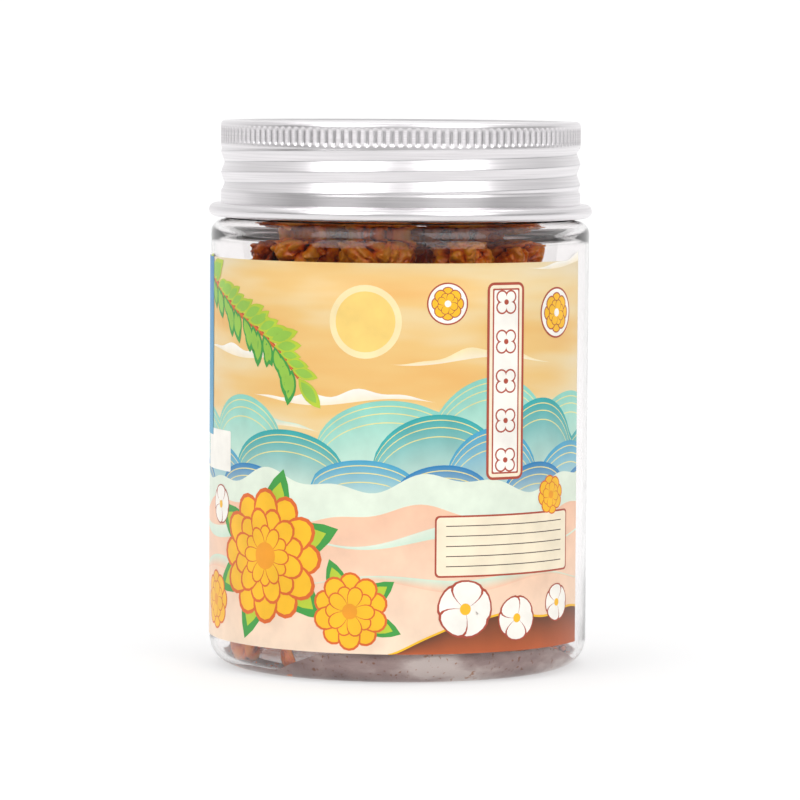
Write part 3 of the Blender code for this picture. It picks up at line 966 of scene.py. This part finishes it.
inks = {
    "cream": (252, 238, 210),
    "white": (255, 251, 242),
    "sun": (252, 214, 120),
    "sunRim": (253, 232, 178),
    "deepBlue": (20, 128, 188),
    "blue": (64, 164, 202),
    "teal": (36, 170, 172),
    "paleTeal": (140, 214, 198),
    "mint": (214, 236, 216),
    "paleMint": (232, 242, 224),
    "contour": (244, 230, 150),
    "peach": (250, 200, 168),
    "palePeach": (253, 226, 200),
    "gold": (255, 194, 26),
    "deepGold": (246, 160, 24),
    "orange": (226, 104, 34),
    "bark": (190, 92, 44),
    "brown": (104, 56, 30),
    "redBrown": (178, 74, 52),
    "lime": (186, 208, 52),
    "paleLeaf": (150, 200, 70),
    "green": (62, 158, 66),
    "rule": (70, 52, 44),
}
inks = {name: screenColour(*colour) for name, colour in inks.items()}


def wrapTree():
    # bends flat art round the jar: x runs round the wall and -y stands off it
    tree, value = newTree("wrapRoundJar", {"Float": ("Radius",)})
    x, y, z = splitVector(tree, addNode(tree, "GeometryNodeInputPosition").outputs[0])
    angle = mathNode(tree, "DIVIDE", x, value["Radius"])
    radius = mathNode(tree, "SUBTRACT", value["Radius"], y)
    right = mathNode(tree, "MULTIPLY", radius, mathNode(tree, "SINE", angle))
    back = mathNode(tree, "MULTIPLY", radius, mathNode(tree, "COSINE", angle))
    bent = joinVector(tree, right, mathNode(tree, "MULTIPLY", back, -1.0), z)
    move = addNode(tree, "GeometryNodeSetPosition", {"Geometry": value["Geometry"], "Position": bent})
    return finishTree(tree, move.outputs[0], value["Material"])


def columnEdges(fromX, toX):
    # the label's columns between two places, ends included
    inside = [k * label["column"] for k in range(-200, 200) if fromX < k * label["column"] < toX]
    return [fromX, *inside, toX]


def buildPaper(tree, material):
    bm = bmesh.new()
    columns = columnEdges(label["leftEnd"], label["rightEnd"])
    rows = [label["low"] + (label["high"] - label["low"]) * i / 8 for i in range(9)]
    grid = [[bm.verts.new((x * mm, 0.0, z * mm)) for z in rows] for x in columns]
    for left, right in zip(grid, grid[1:]):
        for i in range(len(rows) - 1):
            bm.faces.new((left[i], right[i], right[i + 1], left[i + 1]))
    paper = newObject("labelFine", meshFromBmesh("labelFine", bm), material)
    thicken = paper.modifiers.new("film", "SOLIDIFY")
    thicken.thickness = label["thickness"]
    thicken.offset = -1.0
    plainMesh(paper)
    runTree(paper, tree, {"Radius": label["radius"], "Material": material})
    place(paper, "jar", "label_print", "label")
    print("label: film wrapped round the jar")


def paint(sheet, outline, ink, layer):
    # one flat shape, turned anticlockwise if need be, in one ink
    area = sum(a[0] * b[1] - b[0] * a[1] for a, b in zip(outline, outline[1:] + outline[:1]))
    if area < 0.0:
        outline = outline[::-1]
    bm, colours = sheet
    face = bm.faces.new([bm.verts.new((x * mm, -layer * label["layer"], z * mm)) for x, z in outline])
    for loop in face.loops:
        loop[colours] = inks[ink]


def paintBand(sheet, fromX, toX, lower, upper, names, layer, rows=5):
    # between two curves of x, graded from the lower ink to the upper one
    bm, colours = sheet
    first, last = (inks[name] for name in names)
    depth = -layer * label["layer"]
    grid = []
    for x in columnEdges(fromX, toX):
        low, high = lower(x), max(lower(x), upper(x))
        heights = [low + (high - low) * i / rows for i in range(rows + 1)]
        grid.append([bm.verts.new((x * mm, depth, z * mm)) for z in heights])
    for left, right in zip(grid, grid[1:]):
        for i in range(rows):
            face = bm.faces.new((left[i], right[i], right[i + 1], left[i + 1]))
            for loop, step in zip(face.loops, (i, i, i + 1, i + 1)):
                loop[colours] = [a + (b - a) * step / rows for a, b in zip(first, last)]


def disc(x, z, radius, points=40):
    turns = [math.tau * i / points for i in range(points)]
    return [(x + radius * math.cos(t), z + radius * math.sin(t)) for t in turns]


def petal(x, z, length, width, angle, points=18):
    # a round-tipped petal that starts at (x, z)
    ahead, aside = math.cos(angle), math.sin(angle)
    outline = []
    for i in range(points):
        t = math.tau * i / points
        along = 0.5 * length * (1.0 - math.cos(t))
        across = 0.5 * width * math.sin(t) * math.sqrt(0.5 - 0.5 * math.cos(t))
        outline.append((x + along * ahead - across * aside, z + along * aside + across * ahead))
    return outline


def leaf(points=7):
    # 1 mm long and pointed at both ends, from (0, 0) along x
    upper = [(i / points, 0.2 * math.sin(math.pi * i / points) ** 0.8) for i in range(points + 1)]
    return upper + [(x, -z) for x, z in upper[-2:0:-1]]


def roundedBox(fromX, fromZ, toX, toZ, corner, points=4):
    outline = []
    middles = ((toX, toZ, 0.0), (fromX, toZ, 90.0), (fromX, fromZ, 180.0), (toX, fromZ, 270.0))
    for x, z, start in middles:
        x += corner if x == fromX else -corner
        z += corner if z == fromZ else -corner
        for i in range(points + 1):
            angle = math.radians(start + 90.0 * i / points)
            outline.append((x + corner * math.cos(angle), z + corner * math.sin(angle)))
    return outline


def scaled(outline, share, shift=0.0):
    return [(x * share + shift, z * share) for x, z in outline]


def stroke(sheet, line, widths, colour, layer):
    # a brush line through points, its width going from the first value to the second
    last = len(line) - 1
    sides = []
    for i, (x, z) in enumerate(line):
        before, after = line[max(0, i - 1)], line[min(last, i + 1)]
        run = math.hypot(after[0] - before[0], after[1] - before[1])
        half = 0.5 * (widths[0] + (widths[1] - widths[0]) * i / last)
        nx, nz = -(after[1] - before[1]) / run * half, (after[0] - before[0]) / run * half
        sides.append(((x + nx, z + nz), (x - nx, z - nz)))
    for (a, b), (c, d) in zip(sides, sides[1:]):
        paint(sheet, [a, b, d, c], colour, layer)


def motif(name, shapes):
    # a small motif drawn round (0, 0), from (outline, ink, layer)
    bm = bmesh.new()
    sheet = (bm, bm.loops.layers.float_color.new("ink"))
    for shape in shapes:
        paint(sheet, *shape)
    return bpy.data.objects.new(name, meshFromBmesh(name, bm))


def stampTree():
    # the motif on every point, turned and sized by the point's own values
    tree, value = newTree("stampedMotif", {"Object": ("Motif",)})

    def pointValue(name):
        read = addNode(tree, "GeometryNodeInputNamedAttribute", {"Name": name}, data_type="FLOAT")
        return read.outputs["Attribute"]

    size = pointValue("size")
    inputs = {
        "Points": value["Geometry"],
        "Instance": addNode(tree, "GeometryNodeObjectInfo", {"Object": value["Motif"]}).outputs["Geometry"],
        "Rotation": joinVector(tree, 0.0, mathNode(tree, "MULTIPLY", pointValue("turn"), -1.0), 0.0),
        "Scale": joinVector(tree, size, 1.0, size),
    }
    stamped = addNode(tree, "GeometryNodeInstanceOnPoints", inputs)
    return finishTree(tree, stamped.outputs[0], value["Material"])


def stamp(sheet, tools, shape, places, layer):
    # the shape at every (x, z, turn, size), on one layer of ink
    tree, material = tools
    mesh = bpy.data.meshes.new("places")
    mesh.from_pydata([(x * mm, -layer * label["layer"], z * mm) for x, z, _, _ in places], [], [])
    for name, column in (("turn", 2), ("size", 3)):
        values = mesh.attributes.new(name, "FLOAT", "POINT")
        values.data.foreach_set("value", [float(spot[column]) for spot in places])
    holder = newObject("places", mesh, material)
    runTree(holder, tree, {"Motif": shape, "Material": material})
    sheet[0].from_mesh(holder.data)
    bpy.data.objects.remove(holder)


def petalMotif(fill, rim, width):
    # one outlined petal, 1 mm long
    outer = petal(0.0, 0.0, 1.0, width, 0.0)
    inner = petal(0.0, 0.0, 0.94, width * 0.86, 0.0)
    return motif("petal", ((outer, rim, 0.0), (inner, fill, 1.0)))


def flower(sheet, tools, x, z, radius, petals, inkNames, layer, turn=0.0, rings=(1.0, 0.66)):
    # rings of outlined petals and a centre
    fill, rim, heart = inkNames
    shape = petalMotif(fill, rim, 1.25 * math.tau / petals)
    for ring, share in enumerate(rings):
        turns = [turn + math.tau * (k + 0.5 * ring) / petals for k in range(petals)]
        for parity in (0, 1):
            places = [(x, z, t, radius * share) for t in turns[parity::2]]
            stamp(sheet, tools, shape, places, layer + 4 * ring + 2 * parity)
    paint(sheet, disc(x, z, 0.2 * radius, 24), heart, layer + 4 * len(rings))


def humps(base, shapes):
    # a ridge line of overlapping round hills
    def top(x):
        rise = 0.0
        for middle, half, height in shapes:
            share = (x - middle) / half
            if abs(share) < 1.0:
                rise = max(rise, height * math.sqrt(1.0 - share * share))
        return base + rise
    return top


def wave(base, *swings):
    # a line along the label at one height, with swings of (height, length, shift)
    def level(x):
        return base + sum(height * math.sin(x / length + shift) for height, length, shift in swings)
    return level


def contour(top, base, gap):
    # the edges of a thin line under a ridge's top, which close where the ridge is too low for it
    def low(x):
        return top(x) - gap
    def high(x):
        return low(x) + (0.22 if top(x) - base > gap + 0.4 else 0.0)
    return low, high


def shareAlong(x, start, length):
    return min(1.0, max(0.0, (x - start) / length))


ridges = (
    (("paleMint", "paleTeal"), 50.0, ((-62, 14, 9), (-40, 13, 12), (-2, 17, 12), (22, 16, 17), (46, 15, 13))),
    (("paleMint", "teal"), 46.0, ((-70, 12, 7), (-27, 15, 9), (9, 15, 13), (35, 13, 16), (56, 13, 9))),
    (("mint", "blue"), 43.0, ((-52, 13, 8), (-8, 12, 6), (22, 12, 13), (46, 12, 9))),
    (("mint", "deepBlue"), 41.0, ((-64, 10, 5), (-38, 11, 6), (10, 11, 7), (34, 10, 7), (52, 8, 5))),
)


def paintLandscape(sheet):
    # round hills with thin lines in them, then mist, ground and two streams
    ends = (label["leftEnd"], label["rightEnd"])
    foot = wave(label["low"])
    for layer, (names, base, shapes) in enumerate(ridges, start=1):
        top = humps(base, shapes)
        paintBand(sheet, *ends, wave(38.0), top, names, layer)
        for gap in (1.3, 2.9, 4.9):
            paintBand(sheet, *ends, *contour(top, base, gap), ("contour", "contour"), layer + 0.5, rows=1)
    mist = wave(44.0, (1.6, 6.5, 0.0), (1.0, 2.9, 0.0))
    ground = wave(37.0, (1.8, 8.0, 1.0), (0.7, 3.1, 0.0))
    paintBand(sheet, *ends, foot, mist, ("mint", "paleMint"), 5)
    paintBand(sheet, *ends, foot, ground, ("palePeach", "peach"), 5.5)
    for level, names in ((31.0, ("mint", "paleMint")), (21.5, ("peach", "mint"))):
        swing = (1.5, 7.0, level)
        stream = (wave(level, swing), wave(level + 1.6, swing, (1.2, 10.0, 0.0)))
        paintBand(sheet, *ends, *stream, names, 6, rows=1)


clouds = (
    (-58.0, 71.0, 34.0, 2.2, "white"),
    (-2.0, 70.5, 40.0, 2.0, "sunRim"),
    (-36.0, 61.5, 44.0, 2.4, "white"),
    (30.0, 91.0, 36.0, 1.6, "white"),
    (-44.0, 55.0, 26.0, 1.6, "mint"),
)


def paintClouds(sheet):
    for x, z, length, height, name in clouds:
        low = wave(z, (0.9, 6.0, x))
        def high(u):
            swell = math.sin(math.pi * shareAlong(u, x, length)) ** 1.5
            return low(u) + height * swell * (1.0 + 0.3 * math.sin(u / 1.9))
        toX = min(x + length, label["rightEnd"])
        paintBand(sheet, max(x, label["leftEnd"]), toX, low, high, ("cream", name), 0.5, rows=2)


branch = {
    "line": ((-70.0, 88.0), (-44.0, 88.0), (-23.0, 66.0)),
    "steps": 26,
    "widths": (2.4, 0.6),
    "leafTurnDeg": 48.0,
    "leafSize": (5.2, 8.4),
    "seed": 7,
}


def paintBranch(sheet, tools):
    # a leafy branch that comes in at the top left
    dice = random.Random(branch["seed"])
    line = []
    for i in range(branch["steps"] + 1):
        t = i / branch["steps"]
        weights = ((1.0 - t) ** 2, 2.0 * t * (1.0 - t), t * t)
        x, z = (sum(weight * point[k] for weight, point in zip(weights, branch["line"])) for k in (0, 1))
        line.append((x, z + 0.8 * math.sin(9.0 * t)))
    stroke(sheet, line, branch["widths"], "bark", 7)
    stroke(sheet, line, [0.4 * width for width in branch["widths"]], "orange", 7.5)
    leaves = {"lime": [], "green": []}
    for i in range(3, len(line) - 1):
        (x, z), (nextX, nextZ) = line[i], line[i + 1]
        along = math.atan2(nextZ - z, nextX - x)
        for side, name in ((1.0, "lime"), (-1.0, "green")):
            turn = along + side * math.radians(branch["leafTurnDeg"] + dice.uniform(-16.0, 16.0))
            leaves[name].append((x, z, turn, dice.uniform(*branch["leafSize"])))
    leaves["lime"].append((*line[-1], along, branch["leafSize"][1]))
    for layer, (name, places) in enumerate(leaves.items()):
        shapes = ((leaf(), name, 0.0), (scaled(leaf(), 0.7, 0.12), "paleLeaf", 0.5))
        stamp(sheet, tools, motif("leaf", shapes), places, 8 + layer)


cartouche = {"box": (19.7, 44.5, 29.3, 87.5), "corner": 1.6, "border": 0.6, "rooms": 5}


def paintCartouche(sheet, tools):
    # an upright frame with a row of four-lobed blossoms
    fromX, fromZ, toX, toZ = cartouche["box"]
    border = cartouche["border"]
    layers = ((0.0, "redBrown"), (border, "cream"), (2.2 * border, "redBrown"), (2.8 * border, "white"))
    for step, (inset, name) in enumerate(layers):
        corner = max(0.3, cartouche["corner"] - inset)
        outline = roundedBox(fromX + inset, fromZ + inset, toX - inset, toZ - inset, corner)
        paint(sheet, outline, name, 9 + 0.5 * step)
    shapes = []
    for radius, name, step in ((0.25, "redBrown", 0.0), (0.19, "white", 0.5)):
        for turn in (0.0, 1.571, 3.142, 4.712):
            shapes.append((disc(0.27 * math.cos(turn), 0.27 * math.sin(turn), radius, 16), name, step))
    shapes += [(disc(0.0, 0.0, 0.22, 12), "white", 0.7), (disc(0.0, 0.0, 0.1, 12), "redBrown", 0.9)]
    room = (toZ - fromZ) / cartouche["rooms"]
    middle = 0.5 * (fromX + toX)
    places = [(middle, fromZ + room * (i + 0.5), 0.785, 6.0) for i in range(cartouche["rooms"])]
    stamp(sheet, tools, motif("blossom", shapes), places, 11)


def paintPanel(sheet):
    # a bare panel with ruled lines, and a bare white box
    paint(sheet, roundedBox(8.0, 23.5, 45.0, 37.0, 1.0), "redBrown", 9)
    paint(sheet, roundedBox(8.4, 23.9, 44.6, 36.6, 0.8), "cream", 9.5)
    for i in range(5):
        z = 25.8 + 2.2 * i
        paint(sheet, [(10.5, z), (42.5, z), (42.5, z + 0.2), (10.5, z + 0.2)], "rule", 10)
    paint(sheet, roundedBox(-61.0, 44.5, -45.0, 53.5, 0.4), "white", 9)


def paintBank(sheet):
    # a dark bank of earth with a bright edge at the lower right
    ends = (-2.0, label["rightEnd"])
    low = wave(label["low"])
    def high(x):
        return low(x) + 7.5 * shareAlong(x, -2.0, 16.0) ** 1.6 + 0.7 * math.sin(x / 3.3)
    def edge(x):
        return high(x) + 0.5
    paintBand(sheet, *ends, low, edge, ("gold", "gold"), 7, rows=1)
    paintBand(sheet, *ends, low, high, ("bark", "brown"), 7.5)


# place, radius and turn of each white flower
whiteFlowers = (
    (15.0, 16.5, 6.4, 0.2),
    (28.0, 14.0, 5.0, 0.9),
    (41.0, 16.5, 4.2, 0.5),
    (-50.0, 37.0, 4.4, 0.4),
)


def paintMotifs(sheet, tools):
    # the sun, two round badges with a flower in each, golden blossoms with leaves, and white ones
    paint(sheet, disc(-7.5, 79.0, 8.0), "sunRim", 1)
    paint(sheet, disc(-7.5, 79.0, 6.6), "sun", 1.5)
    for x, z, radius in ((10.5, 83.0, 4.6), (40.0, 80.5, 5.6)):
        paint(sheet, disc(x, z, radius), "redBrown", 8)
        paint(sheet, disc(x, z, radius * 0.93), "white", 8.5)
        flower(sheet, tools, x, z, radius * 0.8, 8, ("gold", "redBrown", "white"), 9)
    leafShape = motif("leaf", ((leaf(), "green", 0.0), (scaled(leaf(), 0.75, 0.1), "lime", 0.5)))
    leafPlaces = [(-32.0, 27.0, math.radians(a), 20.0) for a in (20, 75, 150, 205, 250, 320)]
    leafPlaces += [(-11.0, 15.5, math.radians(a), 12.5) for a in (35, 110, 340)]
    stamp(sheet, tools, leafShape, leafPlaces, 7)
    goldInks = ("gold", "orange", "deepGold")
    flower(sheet, tools, -32.0, 27.0, 15.0, 12, goldInks, 9, rings=(1.0, 0.72, 0.46))
    flower(sheet, tools, -10.5, 16.0, 8.6, 10, goldInks, 9, 0.3)
    flower(sheet, tools, -53.0, 15.5, 6.6, 8, goldInks, 9, 0.1)
    flower(sheet, tools, 38.5, 40.5, 4.4, 8, goldInks, 11, 0.2)
    for x, z, radius, turn in whiteFlowers:
        flower(sheet, tools, x, z, radius, 5, ("white", "redBrown", "gold"), 12, turn, (1.0,))


def buildPrint(tree, material):
    bm = bmesh.new()
    sheet = (bm, bm.loops.layers.float_color.new("ink"))
    tools = (stampTree(), material)
    paintClouds(sheet)
    paintLandscape(sheet)
    margin = (label["leftEnd"], label["margin"])
    paintBand(sheet, *margin, wave(52.0), wave(label["high"]), ("blue", "deepBlue"), 14)
    paintBranch(sheet, tools)
    paintCartouche(sheet, tools)
    paintPanel(sheet)
    paintBank(sheet)
    paintMotifs(sheet, tools)
    # cut along the label's columns, so that every face bends with the wall
    bmesh.ops.triangulate(bm, faces=bm.faces)
    for x in columnEdges(label["leftEnd"], label["rightEnd"])[1:-1]:
        everything = bm.verts[:] + bm.edges[:] + bm.faces[:]
        plane = {"plane_co": (x * mm, 0.0, 0.0), "plane_no": (1.0, 0.0, 0.0)}
        bmesh.ops.bisect_plane(bm, geom=everything, dist=1e-7, **plane)
    piece = newObject("labelPrint", meshFromBmesh("labelPrint", bm), material)
    runTree(piece, tree, {"Radius": label["radius"], "Material": material})
    place(piece, "jar", "label_print")
    print("label: print laid on the film,", len(piece.data.polygons), "faces")


# The whole jar, built in order

addCamera()
addBackdrop()
addLights()
addWorld()
press = pressTree()
buildCap(press, satinAluminium())
buildSeal(whiteFoam())
buildJar(press, clearPlastic())
flesh = {name: driedFungus(name, *colours) for name, colours in fleshTonesWithPaintedLight.items()}
buildFungus(flesh)
scatter = crumbTree()
buildCrumbs("dust", scatter, flesh["amber"])
buildCrumbs("bits", scatter, flesh["brown"])
buildFlakes(flesh["amber"])
buildPowder(fungusPowder())
wrap = wrapTree()
buildPaper(wrap, labelPaper())
buildPrint(wrap, printedInk())
